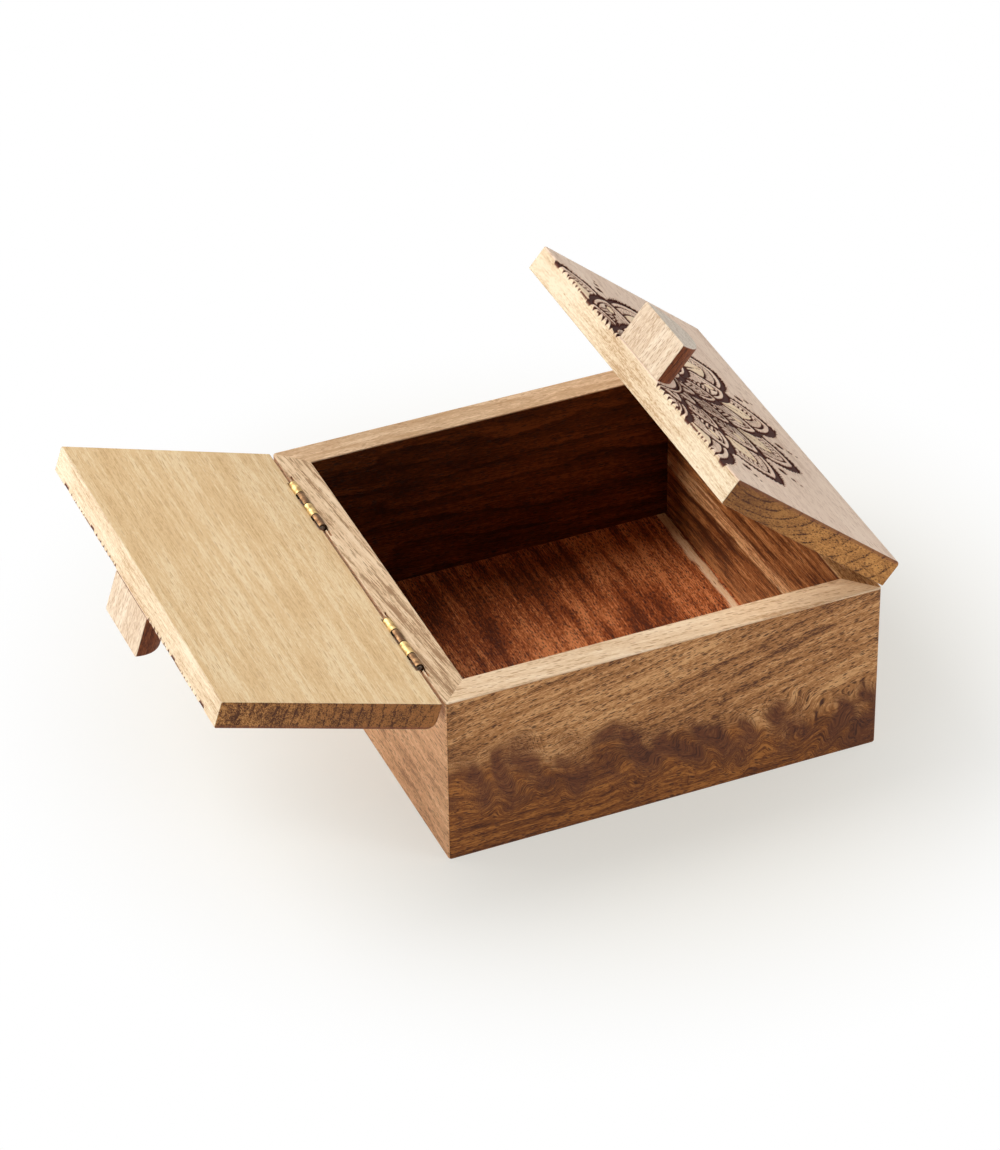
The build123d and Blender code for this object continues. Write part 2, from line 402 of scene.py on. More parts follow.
class Side(Enum):
    """The two sides of the box, with the sign of their X."""

    LEFT = -1
    RIGHT = 1

    @property
    def label(self) -> str:
        """The word that node names start with."""
        return self.name.lower()


@dataclass(frozen=True)
class LeafFrame:
    """A lid leaf's own directions and sizes, in millimetres.

    Its U runs from the hinge axis to the free edge, V along the hinge line and W to the outer face.
    """

    side: Side
    origin: Array
    axes: Array
    low: Array
    high: Array
    hinge_round: float

    @classmethod
    def of(cls, side: Side) -> "LeafFrame":
        """Works the frame out from the leaf's joint and node.

        Args:
            side: The leaf's side.

        Returns:
            The frame.
        """
        joints = {joint["name"]: joint for joint in frame["record"]["behaviour"]["joints"]}
        joint = joints[f"{side.label}_lid_hinge"]
        opening = math.radians(-joint["range_deg"][0])
        origin = np.array(joint["pos_m"]) / MM
        u = np.array([-side.value * math.cos(opening), 0.0, math.sin(opening)])
        w = np.array([side.value * math.sin(opening), 0.0, math.cos(opening)])
        axes = np.array([u, np.cross(w, u), w])
        points = (node_points(f"{side.label}_lid") - origin) @ axes.T
        low, high = points.min(0), points.max(0)

        # The rounded edge starts where the hinged face stops: its highest point within 0.01 mm.
        on_end = points[:, 0] < low[0] + 0.01
        return cls(side, origin, axes, low, high, float(high[2] - points[on_end, 2].max()))

    def world(self, uvw: Array) -> Array:
        """Points in metres in the shared frame."""
        return (self.origin + uvw @ self.axes) * MM

    def vector(self, g: Surface) -> Socket:
        """The leaf's own coordinates in a material, in millimetres."""
        return g.place(self.axes, -self.axes @ self.origin)

    def rosette_place(self, uvw: Array) -> tuple[Array, Array]:
        """Where points lie on the closed lid, from its middle: across the seam and along it."""
        seam = abs(self.origin[0])
        return self.side.value * (seam - uvw[..., 0]), uvw[..., 1] * self.axes[1, 1]


@dataclass(frozen=True)
class Spot:
    """Where points lie in the nearest petal of a ring: how far short of its tip, and across it.

    A petal is the space between two equal arcs that meet at its base and its tip. The arcs' radius
    is (length^2 / 4 + width^2) / (2 * width), where width is the petal's half width.
    """

    length: float
    width: float
    short: Array
    across: Array

    def depth(self, side: float = 0.0, end: float = 0.0) -> Array:
        """How deep the points lie inside the petal, or inside a smaller one with the same base.

        Args:
            side: How much narrower the smaller petal is on each side.
            end: How much shorter it is at the tip.

        Returns:
            The depth, negative outside.
        """
        half, width = (self.length - end) / 2, self.width - side
        bow = (half**2 + width**2) / (2 * width)
        return bow - np.hypot(self.short - end - half, np.abs(self.across) + bow - width)

    def leaning(self, lean: float) -> Array:
        """How far short of the tip, counted along lines that lean away from the middle."""
        return self.short + lean * np.abs(self.across)


@dataclass(frozen=True)
class Petals:
    """A ring of pointed petals round the lid's middle, in millimetres.

    A petal fills its share of the ring, up to a small gap, so its half width is
    tan(half the step) * (tip - length / 2) - gap / 2.
    """

    count: int
    turn: float
    tip: float
    length: float
    gap: float = 0.9

    def spot(self, radius: Array, angle: Array) -> Spot:
        """Where points lie in the petal nearest to them.

        Args:
            radius: Distance from the lid's middle.
            angle: Angle round it, in radians.

        Returns:
            Their place.
        """
        step = 2 * math.pi / self.count
        local = (angle + (self.turn + 0.5) * step) % step - step / 2
        width = math.tan(step / 2) * (self.tip - self.length / 2) - self.gap / 2
        return Spot(self.length, width, self.tip - radius * np.cos(local), radius * np.sin(local))


def line(distance: Array, width: float) -> Array:
    """How deep points lie inside a line of a given width along distance 0."""
    return width / 2 - np.abs(distance)


def strokes(place: Array, pitch: float, width: float) -> Array:
    """How deep points lie inside evenly spaced strokes of a given width."""
    return width / 2 - np.abs((place / pitch) % 1.0 - 0.5) * pitch


Fields = tuple[Array, Array | float, Array | float]


@dataclass
class Rosette:
    """The burnt rosette: rings of lotus petals, drawn from the outermost ring inwards.

    Each field is worked out at given points: burn is the depth inside the nearest burnt line, in
    millimetres, and cream and smoke are the strengths of the pale and the grey fillings.
    """

    knob_radius: float
    outer: Petals = Petals(12, 0.0, 88.0, 48.0)
    middle: Petals = Petals(12, 0.5, 71.0, 43.0)
    inner: Petals = Petals(12, 0.0, 54.0, 35.0)
    small: Petals = Petals(12, 0.5, 37.0, 22.0)
    border_width: float = 2.2
    border_tip: float = 5.0
    tooth_pitch: float = 2.5
    tooth_height: float = 1.6
    vein_start: float = 27.0
    bead_rings: tuple[Pair, ...] = ((79.5, 2.4), (85.5, 1.5), (89.6, 0.9))
    collars: tuple[Pair, ...] = ((3.0, 1.7), (5.2, 1.0))

    def draw(self, x: Array, y: Array) -> tuple[Array, Array, Array]:
        """The rosette's fields.

        Args:
            x: Place across the seam.
            y: Place along it.

        Returns:
            Burn, cream and smoke.
        """
        radius, angle = np.hypot(x, y), np.arctan2(x, y)
        burn = self.beads(self.middle.spot(radius, angle))
        cream, smoke = np.zeros(x.shape), np.zeros(x.shape)
        for petals, style in (
            (self.outer, self.fringed), (self.middle, self.feathered),
            (self.inner, self.banded), (self.small, self.keeled),
        ):
            spot = petals.spot(radius, angle)
            inside = spot.depth() > 0
            ink, pale, grey = style(spot)
            burn = np.where(inside, ink, np.maximum(burn, ink))
            cream, smoke = np.where(inside, pale, cream), np.where(inside, grey, smoke)
        foot = radius - self.knob_radius
        rings = np.maximum.reduce([line(foot - reach + width / 2, width) for reach, width in self.collars])
        inside = foot < self.collars[-1][0]
        burn = np.where(inside, rings, np.maximum(burn, rings))
        return burn, cream * ~inside, np.where(inside, 0.5, smoke)

    def beads(self, p: Spot) -> Array:
        """Beads between the outer petals, smaller towards the rim."""
        out = self.middle.tip - p.short
        return np.maximum.reduce([size - np.hypot(out - ring, p.across) for ring, size in self.bead_rings])

    def border(self, p: Spot, edge: Array) -> Array:
        """The carved edge of a petal, wider at its tip."""
        return np.minimum(edge, -p.depth(self.border_width, self.border_tip))

    def fringed(self, p: Spot) -> Fields:
        """Outer petals: a toothed border, an outline, barbs, and a cream heart with a dotted vein.

        Args:
            p: Where the points lie in their petals.

        Returns:
            Burn, cream and smoke.
        """
        teeth = np.abs((p.leaning(0.5) / self.tooth_pitch) % 1.0 - 0.5) * 2
        edge = p.depth() + self.tooth_height * (teeth - 0.3) * smooth_step(self.vein_start, 15.0, p.short)
        second, heart = p.depth(4.2, 8.8), p.depth(9.0, 15.0)
        barbs = np.minimum.reduce([strokes(p.leaning(0.8), 3.0, 1.1), second - 1.5, -heart - 0.9])
        vein = np.minimum(line(p.across, 1.0), p.short - self.vein_start)
        dotted = (p.short < self.vein_start) & (heart > 1.2)
        dots = np.where(dotted, 0.7 - np.hypot(p.short % 3.0 - 1.5, p.across), -1.0)
        lines = [self.border(p, edge), line(second, 1.3), line(heart, 1.1), barbs, vein, dots]
        return np.maximum.reduce(lines), smooth_step(0.2, 0.6, heart), 0.0

    def feathered(self, p: Spot) -> Fields:
        """Middle petals: a dark border, an outline, leaning barbs and a cream drop near the tip.

        Args:
            p: Where the points lie in their petals.

        Returns:
            Burn, cream and smoke.
        """
        second = p.depth(4.0, 8.2)
        drop = 2.7 - np.hypot(p.across * 1.15, (p.short - 15.5) * 0.6)
        barbs = [strokes(p.leaning(-0.9), 3.4, 1.5), second - 1.3, -drop - 1.2, p.short - 17.5]
        rib = np.minimum(line(p.across, 1.1), p.short - 20.5)
        lines = [
            self.border(p, p.depth()), line(second, 1.0), np.minimum.reduce(barbs), rib, line(drop, 1.0),
        ]
        grey = 0.5 * smooth_step(0.4, 1.2, second) * smooth_step(16.0, 24.0, p.short)
        return np.maximum.reduce(lines), smooth_step(0.2, 0.6, drop), grey

    def banded(self, p: Spot) -> Fields:
        """Inner petals: bands one inside another, round a grey heart with short strokes.

        Args:
            p: Where the points lie in their petals.

        Returns:
            Burn, cream and smoke.
        """
        second, heart = p.depth(3.4, 7.2), p.depth(5.6, 11.4)
        tufts = np.minimum(strokes(p.leaning(1.5), 4.0, 1.7), heart - 0.3)
        lines = [self.border(p, p.depth()), line(second - 0.6, 1.5), line(heart, 0.8), tufts]
        return np.maximum.reduce(lines), 0.0, 0.8 * smooth_step(0.0, 0.4, second)

    def keeled(self, p: Spot) -> Fields:
        """Small petals: a dark border and a dark keel.

        Args:
            p: Where the points lie in their petals.

        Returns:
            Burn, cream and smoke.
        """
        keel = np.minimum(p.depth(4.0, 8.0), line(p.across, 2.6))
        ink = np.maximum(self.border(p, p.depth()), keel)
        return ink, 0.0, 0.7 * smooth_step(1.4, 2.0, p.depth())


def add_object(name: str, data: bpy.types.ID) -> bpy.types.Object:
    """Puts a new object with the given data into the scene.

    Args:
        name: Its name.
        data: Its mesh, lamp or camera.

    Returns:
        The object.
    """
    thing = bpy.data.objects.new(name, data)
    bpy.context.scene.collection.objects.link(thing)
    return thing


def add_piece(name: str, points: Array, faces: Sequence[Sequence[int]]) -> bpy.types.Object:
    """Makes a mesh piece.

    Args:
        name: The piece's name.
        points: Its points, in metres in the shared frame.
        faces: Its faces, as lists of point numbers.

    Returns:
        The object, at the origin.
    """
    mesh = bpy.data.meshes.new(name)
    mesh.from_pydata(points.tolist(), [], faces)
    mesh.shade_flat()
    mesh.update()
    return add_object(name, mesh)


def paint(piece: bpy.types.Object, name: str, values: Array) -> None:
    """Stores one number a point as an attribute of a piece."""
    attribute = piece.data.attributes.new(name, "FLOAT", "POINT")
    attribute.data.foreach_set("value", values.astype(np.float32).ravel())


def tube_faces(stations: int, around: int) -> list[list[int]]:
    """Faces of a closed tube: quads between its stations, and one cap at each end.

    Args:
        stations: How many loops of points there are.
        around: Points in a loop.

    Returns:
        The faces, pointing outwards where the loop runs anticlockwise seen from the first end.
    """
    points = np.arange(stations * around).reshape(stations, around)
    following = np.roll(points, -1, 1)
    quads = np.stack([points[:-1], points[1:], following[1:], following[:-1]], -1)
    return quads.reshape(-1, 4).tolist() + [points[0].tolist(), points[-1, ::-1].tolist()]


def arc(centre: Pair, radius: float, start: float, end: float, count: int) -> Array:
    """Points on an arc, its angles in degrees from the first axis."""
    angle = np.radians(np.linspace(start, end, count))
    return np.array(centre) + radius * np.stack([np.cos(angle), np.sin(angle)], -1)


def straight(start: Pair, end: Pair, spacing: float) -> Array:
    """Evenly spaced points between two ends, without the ends.

    Args:
        start: One end.
        end: The other.
        spacing: How far apart neighbours may be.

    Returns:
        The points.
    """
    count = max(int(math.ceil(math.dist(start, end) / spacing)), 1)
    share = np.linspace(0, 1, count + 1)[1:-1, None]
    return np.array(start) * (1 - share) + np.array(end) * share


@dataclass
class LidLeaf:
    """A lid leaf: its board with the hinge mortises and the carved rosette, and its timber.

    Lengths are in millimetres. The points of its section are spaced for the carving on the outer
    face, closely beside the corners, and widely on the edges and the underside.
    """

    leaf: LeafFrame
    rosette: Rosette
    looks: "LeafLooks"
    spacing: float = 0.55
    corner_spacing: float = 0.3
    edge_spacing: float = 2.0
    underside_spacing: float = 6.0
    corner_reach: float = 4.0
    seat_reach: float = 3.0
    edge_round: float = 0.8
    end_round: float = 0.6
    end_steps: tuple[float, ...] = (0.04, 0.12, 0.25, 0.4)
    carving_depth: float = 0.9
    carving_slope: float = 0.3
    scorch: float = 0.55
    scorch_fade: float = 0.35
    unburnt: float = -2.0
    mortise_radius: float = 2.15
    mortise_overrun: float = 1.4
    mortise_step: float = 0.02

    def section(self) -> Array:
        """The board's section, from the hinge's lower corner round to it again.

        Returns:
            U and W of its points.
        """
        (u0, _, w0), (u1, _, w1) = self.leaf.low, self.leaf.high
        r, s, h = self.edge_round, self.edge_round / 2, self.leaf.hinge_round
        near, seat = self.corner_reach, w0 + self.seat_reach
        close, wide = self.corner_spacing, self.edge_spacing
        return np.concatenate([
            arc((u0 + s, w0 + s), s, 180, 270, 4),
            straight((u0 + s, w0), (u0 + near, w0), close),
            straight((u0 + near, w0), (u1 - r, w0), self.underside_spacing),
            arc((u1 - r, w0 + r), r, -90, 0, 4),
            straight((u1, w0 + r), (u1, w1 - near), wide),
            straight((u1, w1 - near), (u1, w1 - r), close),
            arc((u1 - r, w1 - r), r, 0, 90, 5),
            straight((u1 - r, w1), (u0 + h, w1), self.spacing),
            arc((u0 + h, w1 - h), h, 90, 180, 9),
            straight((u0, w1 - h), (u0, seat), wide),
            straight((u0, seat), (u0, w0 + s), close),
        ])

    def build(self) -> bpy.types.Object:
        """Makes the board.

        Its section runs round the board and is carried along V. Near the ends it is drawn in by a
        quarter round. Over the hinges, the points closer to the hinge axis than the mortise's
        radius are pushed out to it. The outer face sinks where the rosette is burnt.

        Returns:
            The piece.
        """
        loop, stations = self.section(), self.stations()
        tangent = np.roll(loop, -1, 0) - np.roll(loop, 1, 0)
        tangent /= np.linalg.norm(tangent, axis=1, keepdims=True)
        inward = np.stack([-tangent[:, 1], tangent[:, 0]], -1)
        from_end = np.minimum(stations - self.leaf.low[1], self.leaf.high[1] - stations)
        into = np.clip(self.end_round - from_end, 0, self.end_round)
        draw_in = self.end_round - np.sqrt(self.end_round**2 - into**2)
        section = loop[None] + inward[None] * draw_in[:, None, None]
        section = np.where(self.over_hinges(stations)[:, None, None], self.mortised(section), section)
        along = np.broadcast_to(stations[:, None], section.shape[:2])
        uvw = np.stack([section[..., 0], along, section[..., 1]], -1)

        burn, cream, smoke = self.rosette.draw(*self.leaf.rosette_place(uvw))
        r = self.edge_round
        below = np.maximum(self.leaf.high[2] - 0.3 * r - uvw[..., 2], 0.0)
        past_round = uvw[..., 0] > self.leaf.low[0] + self.leaf.hinge_round
        outer = smooth_step(0.9 * r, 0.0, below) * past_round
        sunk = smooth_step(-self.carving_slope, self.carving_slope, burn) * outer
        uvw[..., 2] -= self.carving_depth * sunk
        side = self.leaf.side.label
        points, faces = self.leaf.world(uvw.reshape(-1, 3)), tube_faces(len(stations), len(loop))
        piece = add_piece(f"{side}_lid_board", points, faces)
        scorched = np.where(below > 0, np.minimum(burn, self.scorch), burn) - self.scorch_fade * below
        paint(piece, "burn", np.where(past_round, scorched, self.unburnt))
        paint(piece, "cream", cream * outer)
        paint(piece, "smoke", smoke * outer)
        piece.data.materials.append(self.looks.material(self.leaf))
        node = f"{side}_lid"
        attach(piece, node)
        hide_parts(node)
        return piece

    def hinge_spans(self) -> list[Pair]:
        """Where the mortises lie.

        Returns:
            Where each starts and ends along V.
        """
        spans = []
        for place in ("front", "back"):
            name = f"{self.leaf.side.label}_{place}_hinge_pin"
            v = (node_points(name) - self.leaf.origin) @ self.leaf.axes[1]
            spans.append((float(v.min()) - self.mortise_overrun, float(v.max()) + self.mortise_overrun))
        return spans

    def stations(self) -> Array:
        """Where the section stands: evenly, closer at the ends and on both sides of a step.

        Returns:
            Its places along V, in order.
        """
        v0, v1 = self.leaf.low[1], self.leaf.high[1]
        even = np.linspace(v0, v1, int((v1 - v0) / self.spacing) + 1)
        rounding, step = np.array(self.end_steps), self.mortise_step
        steps = [end + side for span in self.hinge_spans() for end in span for side in (-step, step)]
        return np.unique(np.concatenate([even, v0 + rounding, v1 - rounding, steps]))

    def over_hinges(self, stations: Array) -> Array:
        """True where a station crosses a mortise."""
        return np.any([(stations > start) & (stations < end) for start, end in self.hinge_spans()], axis=0)

    def mortised(self, section: Array) -> Array:
        """The section with the hinge barrel's round seat in its corner."""
        distance = np.linalg.norm(section, axis=-1, keepdims=True)
        return section * np.maximum(self.mortise_radius / distance, 1.0)


@dataclass(frozen=True)
class LeafLooks:
    """Timber of each face of a lid leaf, and the colours of its rosette.

    The ends change towards the hinge, between the two reaches given, from the hinge axis. The
    pith's place is in the leaf's own directions. Lengths are in millimetres.
    """

    outer: Timber
    underside: Timber
    free_edge: Timber
    ends: Timber
    ends_at_hinge: Timber
    pith: Triple
    end_scale: float = 1.0
    hinge_reach: Pair = (95.0, 35.0)
    char: Colour = (0.054, 0.014, 0.009)
    scorch: Colour = (0.20, 0.068, 0.036)
    cream: Colour = (0.95, 0.73, 0.48)
    smoke: Colour = (0.30, 0.19, 0.14)
    scorched_arris: float = 0.6
    line_noise: float = 0.35
    cream_share: float = 0.8
    wood_roughness: float = 0.56
    char_roughness: float = 0.85

    def material(self, leaf: LeafFrame) -> Material:
        """The leaf's material.

        Args:
            leaf: The leaf that it dresses.

        Returns:
            The material.
        """
        g = Surface(f"{leaf.side.label}_lid_timber", WOOD)
        place = leaf.vector(g)
        u, v, w = g.split(place)
        edge, end, face = leaf.high

        # Each mask fades in just short of its face: outer face, free edge, hinged edge and ends.
        outer = g.step(w, face - 1.3, face - 0.6)
        free = g.step(u, edge - 0.8, edge - 0.25) * (1.0 - outer)
        ends = g.step(abs(v), end - 0.45, end - 0.15)
        shut = g.step(u, leaf.low[0] + 0.5, leaf.low[0] + 0.15)
        zones = [
            (outer, self.outer), (free, self.free_edge), (shut, self.ends), (ends, self.ends),
            (ends * g.step(u, *self.hinge_reach), self.ends_at_hinge),
        ]
        x, y, z = g.split(g.scaled(place, (1, 1, 1), self.pith))
        grain = g.join(x * g.blend(ends, 1.0, self.end_scale), y, z)
        colour, height = g.timber(grain, self.underside, zones)

        # The burnt lines' edges are roughened by fine noise, and each share lays its colour on top.
        marks = [g.add("Attribute", attribute_name=name) for name in ("burn", "cream", "smoke")]
        burn, cream, smoke = (Value(g, mark.outputs["Fac"]) for mark in marks)
        burn = burn + (g.noise(place, 1.3, 1.3, 3.0, 0.6) - 0.5) * self.line_noise
        speckle = g.step(g.noise(place, 0.9, 0.35, 3.0, 0.7), 0.35, 0.7)
        for share, layer in (
            # A darker band along the ends' edge by the outer face, in the scorch colour.
            (ends * g.step(w, face - 1.9, face - 0.9) * self.scorched_arris, self.scorch),
            (cream * self.cream_share, self.cream),
            (smoke * (speckle * 0.42 + 0.12), self.smoke),
            (g.step(burn, -0.32, 0.02), self.scorch),
            (g.step(burn, -0.1, 0.22), self.char),
        ):
            colour = g.mix(share, colour, layer)
        roughness = g.blend(g.step(burn, -0.1, 0.2), self.wood_roughness, self.char_roughness)
        return g.finish(colour, roughness, height)


# Box


class Run(Enum):
    """Which way a board's grain runs, as the board's own X, Y and Z in the shared frame."""

    ALONG_X = ((0, 0, 1), (1, 0, 0), (0, 1, 0))
    ALONG_Y = ((0, 0, 1), (0, 1, 0), (-1, 0, 0))


@dataclass(frozen=True)
class WallLooks:
    """Timber of the outer face, the rim and the inner face of a wall, and how its grain lies.

    The grain is turned by the tilt in the wall's faces and by the rim turn in its rim, in degrees.
    A streak of another timber may run with the grain along the inner face, at the height given.
    It is a pale streak of the wood, and partly painted light: brighter than the wood alone, where
    light falls along it.
    """

    outer: Timber
    rim: Timber
    inner: Timber
    run: Run
    tilt: float = 0.0
    rim_turn: float = 0.0
    pith: Triple = (60.0, 0.0, 30.0)
    crotch: bool = False
    streak: Timber | None = None
    streak_height: float = 0.0


@dataclass(frozen=True)
class CrotchFigure:
    """Figure of a wall cut near a fork: a falling row of dark eyes that the grain flows round.

    The row's height is start - fall * x, and the eyes follow cos(2 * pi * x / spacing), both
    shifted by slow noise. The grain climbs by the slope above the row, swings round the eyes by
    the swell, and lies level below them. Lengths are in millimetres.
    """

    start: float = 28.0
    fall: float = 0.13
    spacing: float = 19.0
    reach: float = 19.0
    swell: float = 3.2
    slope: float = 0.2

    def place(self, g: Graph, level: Socket) -> tuple[Value, Value, Value]:
        """Works the figure out on the wall's outer face.

        Args:
            g: The material's graph.
            level: Object coordinates in millimetres.

        Returns:
            How far the grain is pushed, the eyes' mask and the mask of the darker wood below.
        """

        def waver(scale: float, seed: float, detail: float = 0.0) -> Value:
            """Slow noise about 0."""
            return g.noise(level, scale, scale, detail, 0.6, seed) - 0.5

        x, _, z = g.split(level)
        off_row = z - (self.start - x * self.fall) + waver(0.06, 7.0) * 26.0
        turns = x / self.spacing + waver(0.03, 2.0) * 3.0
        swing = g.math("COSINE", turns * (2 * math.pi))
        climb = x * -self.slope * g.step(off_row, -4.0, 22.0)
        low = g.step(abs(off_row + 6.0), self.reach, 0.0)
        push = climb + swing * low * self.swell
        rough = waver(0.15, 4.0, 4.0)
        eye = swing * 0.22 + waver(0.05, 9.0, 1.0) * 2.0
        near = g.step(abs(off_row), self.reach, 0.35 * self.reach)
        eyes = g.step(eye + rough * 0.7, -0.3, 0.2) * near
        return push, eyes, g.step(off_row + rough * 24.0, 14.0, -4.0)


@dataclass
class Carcass:
    """The four walls and the floor.

    The pale strip on the floor has its middle line strip_inset away from the right wall, and
    widens to the back by strip_taper for each millimetre.
    """

    walls: dict[str, WallLooks]
    floor: Timber
    sapwood: Timber
    eyes: Timber
    below: Timber
    figure: CrotchFigure = CrotchFigure()
    strip_inset: float = 3.2
    strip_taper: float = 0.008
    outer_roughness: float = 0.55
    inner_roughness: float = 0.38
    floor_roughness: float = 0.4
    rim_height: float = field(init=False)
    inner_length: float = field(init=False)
    inner_depth: float = field(init=False)

    def __post_init__(self) -> None:
        """Reads the rim's height and half of the inside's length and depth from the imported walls."""
        front, side = node_points("front_wall"), node_points("right_wall")
        wall = float(np.ptp(front[:, 1]))
        self.rim_height = float(front[:, 2].max())
        self.inner_length = float(side[:, 0].max()) - wall
        self.inner_depth = float(-front[:, 1].min()) - wall

    def dress(self) -> None:
        """Gives every board its material."""
        for name, looks in self.walls.items():
            set_material(name, self.wall_material(name, looks))
        set_material("floor_panel", self.floor_material())

    def wall_material(self, name: str, looks: WallLooks) -> Material:
        """Material of one wall.

        Args:
            name: The wall's node.
            looks: Its timbers.

        Returns:
            The material.
        """
        g = Surface(f"{name}_timber", WOOD)
        level = g.place()
        x, y, z = g.split(level)
        turn = Matrix.Rotation(math.radians(looks.tilt), 3, "Z")
        turn = np.array(turn @ Matrix.Rotation(math.radians(looks.rim_turn), 3, "X"))
        board = turn @ np.array(looks.run.value, dtype=float)
        rim = g.step(z, self.rim_height - 0.75, self.rim_height - 0.3)
        inset = g.math("MINIMUM", self.inner_length - abs(x), self.inner_depth - abs(y))
        inner = g.step(inset, -0.6, -0.2)
        inside = inner * (1.0 - rim)
        zones, figure = [(inner, looks.inner), (rim, looks.rim)], 0.0
        # The streak is partly a pale streak of the wood and partly painted light falling on the inner
        # face.
        if looks.streak:
            streak = self.streak_mask(g, g.place(board), looks.streak_height)
            zones.insert(1, (inside * streak, looks.streak))
        if looks.crotch:
            push, eyes, below = self.figure.place(g, level)
            figure = push * (1.0 - g.math("MAXIMUM", inner, rim))
            zones = [(below, self.below), (eyes, self.eyes), *zones]
        colour, height = g.timber(g.place(board, looks.pith), looks.outer, zones, figure)
        return g.finish(colour, g.blend(inside, self.outer_roughness, self.inner_roughness), height)

    def streak_mask(self, g: Graph, place: Socket, height: float) -> Value:
        """1 in a ragged streak along the grain.

        Args:
            g: The material's graph.
            place: Place in the board in millimetres, the grain along Y.
            height: The streak's X.

        Returns:
            The mask.
        """
        wander = g.noise(place, 0.02, 0.02) - 0.5
        ragged = g.noise(place, 0.5, 0.04, 3.0, 0.6) - 0.5
        off = abs(g.split(place)[0] + wander * 8.0 - height)
        return g.step(off + ragged * 12.0, 6.0, 2.0)

    def floor_material(self) -> Material:
        """Material of the floor, with its pale strip along the right wall.

        Returns:
            The material.
        """
        g = Surface("floor_timber", WOOD)
        grain = g.place()
        x, y, _ = g.split(grain)
        wander = (g.noise(grain, 0.02, 0.06, 3.0) - 0.5) * 4.0
        off = abs(x - (self.inner_length - self.strip_inset) + wander)
        streaks = g.noise(grain, 1.6, 0.05, 3.0, 0.6) * 3.8
        strip = g.step(off + (streaks - y * self.strip_taper), 4.1, 2.9)
        colour, height = g.timber(grain, self.floor, [(strip, self.sapwood)])
        return g.finish(colour, self.floor_roughness, height)


def set_material(node: str, material: Material) -> None:
    """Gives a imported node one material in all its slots.

    Args:
        node: The node's name.
        material: The material.
    """
    mesh = frame["nodes"][node].data
    if not mesh.materials:
        mesh.materials.append(material)
    for index in range(len(mesh.materials)):
        mesh.materials[index] = material


# Knob halves and hinges


@dataclass(frozen=True)
class KnobLooks:
    """Timber of a knob half: pale on its sawn face, darker round its curve.

    Its grain stands upright. The pith's place is in the leaf's own directions, in millimetres.
    """

    sawn: Timber
    curve: Timber
    top: Timber
    pith: Triple = (20.0, 0.0, -30.0)
    roughness: float = 0.6

    def dress(self, leaf: LeafFrame) -> None:
        """Gives the leaf's knob half and dowels their material.

        Args:
            leaf: The leaf that carries them.
        """
        node = f"{leaf.side.label}_knob_half"
        edge, _, face = ((node_points(node) - leaf.origin) @ leaf.axes.T).max(0)
        g = Surface(f"{leaf.side.label}_knob_timber", WOOD)
        place = leaf.vector(g)
        u, _, w = g.split(place)
        x, y, z = g.split(g.scaled(place, (1, 1, 1), self.pith))
        top, sawn = g.step(w, face - 0.6, face - 0.2), g.step(u, edge - 0.35, edge - 0.1)
        colour, height = g.timber(g.join(x, z, y), self.curve, [(top, self.top), (sawn, self.sawn)])
        material = g.finish(colour, self.roughness, height, depth=0.2)
        for name in (node, f"{leaf.side.label}_knob_dowels"):
            set_material(name, material)


@dataclass(frozen=True)
class Seams:
    """The seams between a hinge's knuckles, in millimetres along the hinge line."""

    start: float
    pitch: float
    width: float = 0.55

    @classmethod
    def of(cls, knuckles: int) -> "Seams":
        """Reads the hinges' places from the right leaf's hinge at the back."""
        pin = node_points("right_back_hinge_pin")[:, 1]
        return cls(float(pin.min()), float(np.ptp(pin)) / knuckles)

    def mask(self, g: Graph, place: Socket) -> Value:
        """1 in a seam.

        The distance from the nearest seam is abs(fract((abs(y) - start) / pitch + 0.5) - 0.5)
        times the pitch.

        Args:
            g: The material's graph.
            place: Object coordinates in millimetres.

        Returns:
            The mask.
        """
        along = (abs(g.split(place)[1]) - self.start) / self.pitch
        off = abs(g.math("FRACT", along + 0.5) - 0.5) * self.pitch
        return g.step(off, self.width, 0.25 * self.width)


@dataclass(frozen=True)
class Metal:
    """A metal finish: bright colour, tarnish, the tarnish's share, and painted shade in the seams."""

    name: str
    bright: Colour
    tarnish: Colour
    share: float
    roughness: float
    # Colour of the painted shade in the seams between knuckles.
    dirt: Colour = (0.045, 0.025, 0.012)

    def material(self, seams: Seams | None = None) -> Material:
        """The finish as a material.

        Args:
            seams: Where painted shade darkens the seams between knuckles, if anywhere.

        Returns:
            The material.
        """
        g = Surface(self.name, {"Metallic": 1.0})
        place = g.place()
        cloud = g.noise(place, 0.35, 0.35, 4.0, 0.6)
        colour = g.mix(g.step(cloud, 0.55 - self.share, 0.9 - self.share), self.bright, self.tarnish)
        if seams:
            # Painted shade darkens the seams between the knuckles.
            colour = g.mix(seams.mask(g, place), colour, self.dirt)
        scratches = g.noise(place, 6.0, 0.7, 2.0, 0.6)
        return g.finish(colour, scratches * 0.3 + (self.roughness - 0.1), scratches, 0.3, 0.05)


